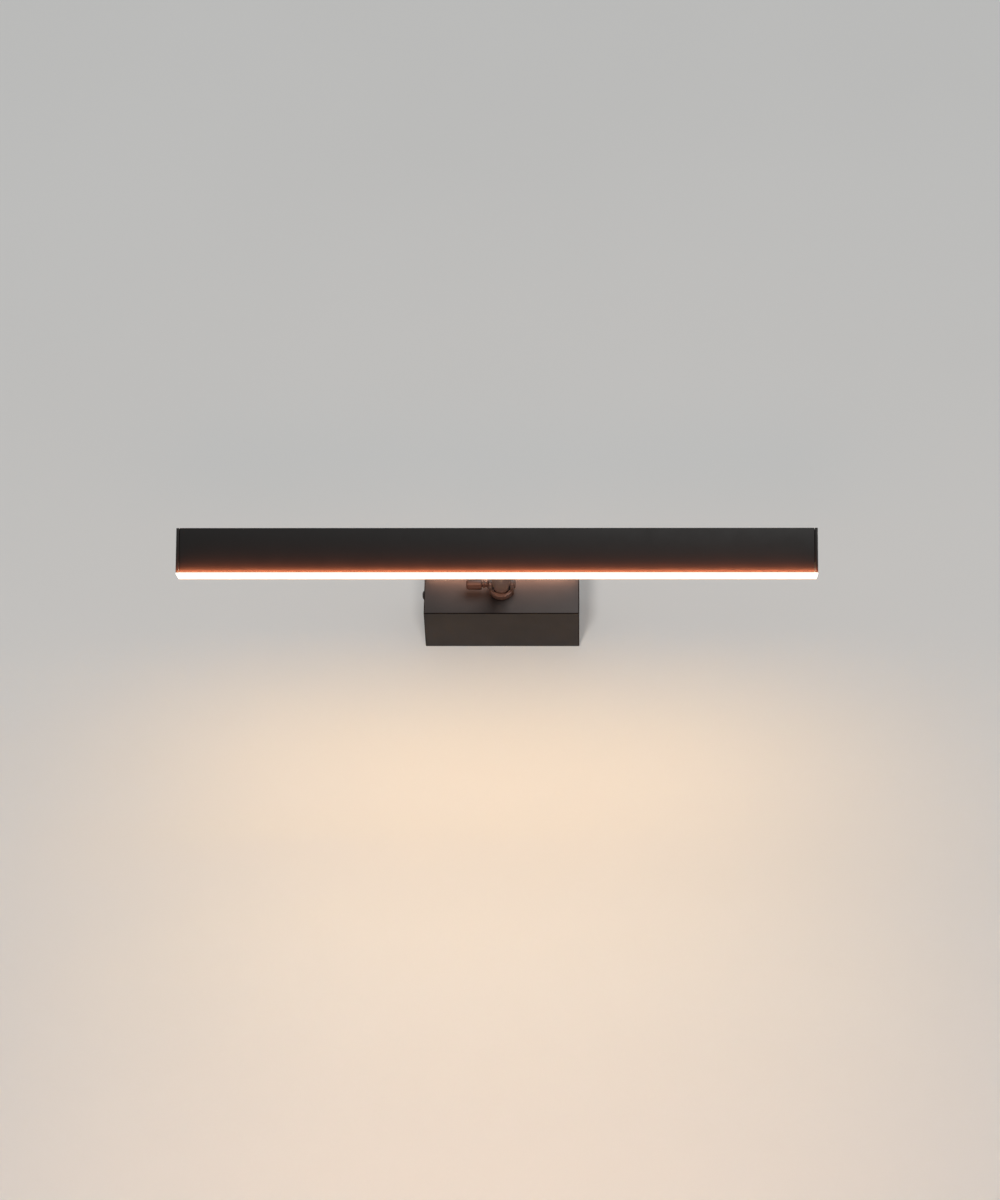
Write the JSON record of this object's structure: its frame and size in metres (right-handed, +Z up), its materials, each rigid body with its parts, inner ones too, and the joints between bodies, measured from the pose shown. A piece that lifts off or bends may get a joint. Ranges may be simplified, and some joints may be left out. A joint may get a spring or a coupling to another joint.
{
  "type": "vanity light bar",
  "caption": "Slim black linear light bar with an opal underside, on a short tilting arm and a rectangular wall canopy.",
  "frame": {"origin": "on the wall plane, behind the middle of the canopy, level with the axis of the tilting knuckle", "axes": "+X along the bar to the viewer's right, +Y into the wall, +Z up"},
  "size_m": [0.45, 0.1803, 0.0905],
  "materials": {
    "black_paint": "satin black powder coat",
    "black_aluminium": "satin black powder coat on an extrusion",
    "opal": "frosted opal, lit warm white",
    "steel": "zinc plated",
    "brass": "machined",
    "aluminium_board": "white coated board with light packages",
    "white_plastic": "moulded",
    "black_nylon": "black nylon washer",
    "nylon": "moulded",
    "rubber": "soft black",
    "brown_lead": "extruded insulation",
    "blue_lead": "extruded insulation",
    "grey_lead": "extruded jacket"
  },
  "bodies": {
    "canopy": {"canopy_cover": "black_paint", "wall_bracket": "steel", "cable_grommet": "rubber", "led_driver": "white_plastic", "driver_screw_left": "steel", "driver_screw_right": "steel", "terminal_block": "nylon", "terminal_screw": "steel", "earth_screw": "brass", "live_lead": "brown_lead", "neutral_lead": "blue_lead", "canopy_lead": "grey_lead", "side_screw": "black_paint", "hinge_base": "black_paint", "lock_washer": "steel", "stem_nut": "brass", "friction_washer_left": "black_nylon", "friction_washer_right": "black_nylon", "pivot_screw": "black_paint"},
    "thumb_screw": {"thumb_screw": "black_paint"},
    "arm_head": {"arm_knuckle": "black_paint", "arm_tube": "black_paint", "head_collar": "black_paint", "collar_washer": "steel", "collar_nut": "steel", "bar_housing": "black_aluminium", "end_cap_left": "black_aluminium", "end_cap_right": "black_aluminium", "cap_screw_left_front": "black_paint", "cap_screw_left_back": "black_paint", "cap_screw_right_front": "black_paint", "cap_screw_right_back": "black_paint", "light_board": "aluminium_board", "board_screw_1": "steel", "board_screw_2": "steel", "board_screw_3": "steel", "board_screw_4": "steel", "opal_diffuser": "opal", "head_lead": "grey_lead"}
  },
  "joints": [
    {"name": "arm_tilt", "type": "hinge", "parent": "canopy", "child": "arm_head", "pos_m": [0, -0.0517, 0], "axis": [-1, 0, 0], "range_deg": [-31, 79]},
    {"name": "thumb_screw_turn", "type": "hinge", "parent": "canopy", "child": "thumb_screw", "pos_m": [0, -0.0517, 0], "axis": [-1, 0, 0], "range_deg": [0, 360]}
  ]
}
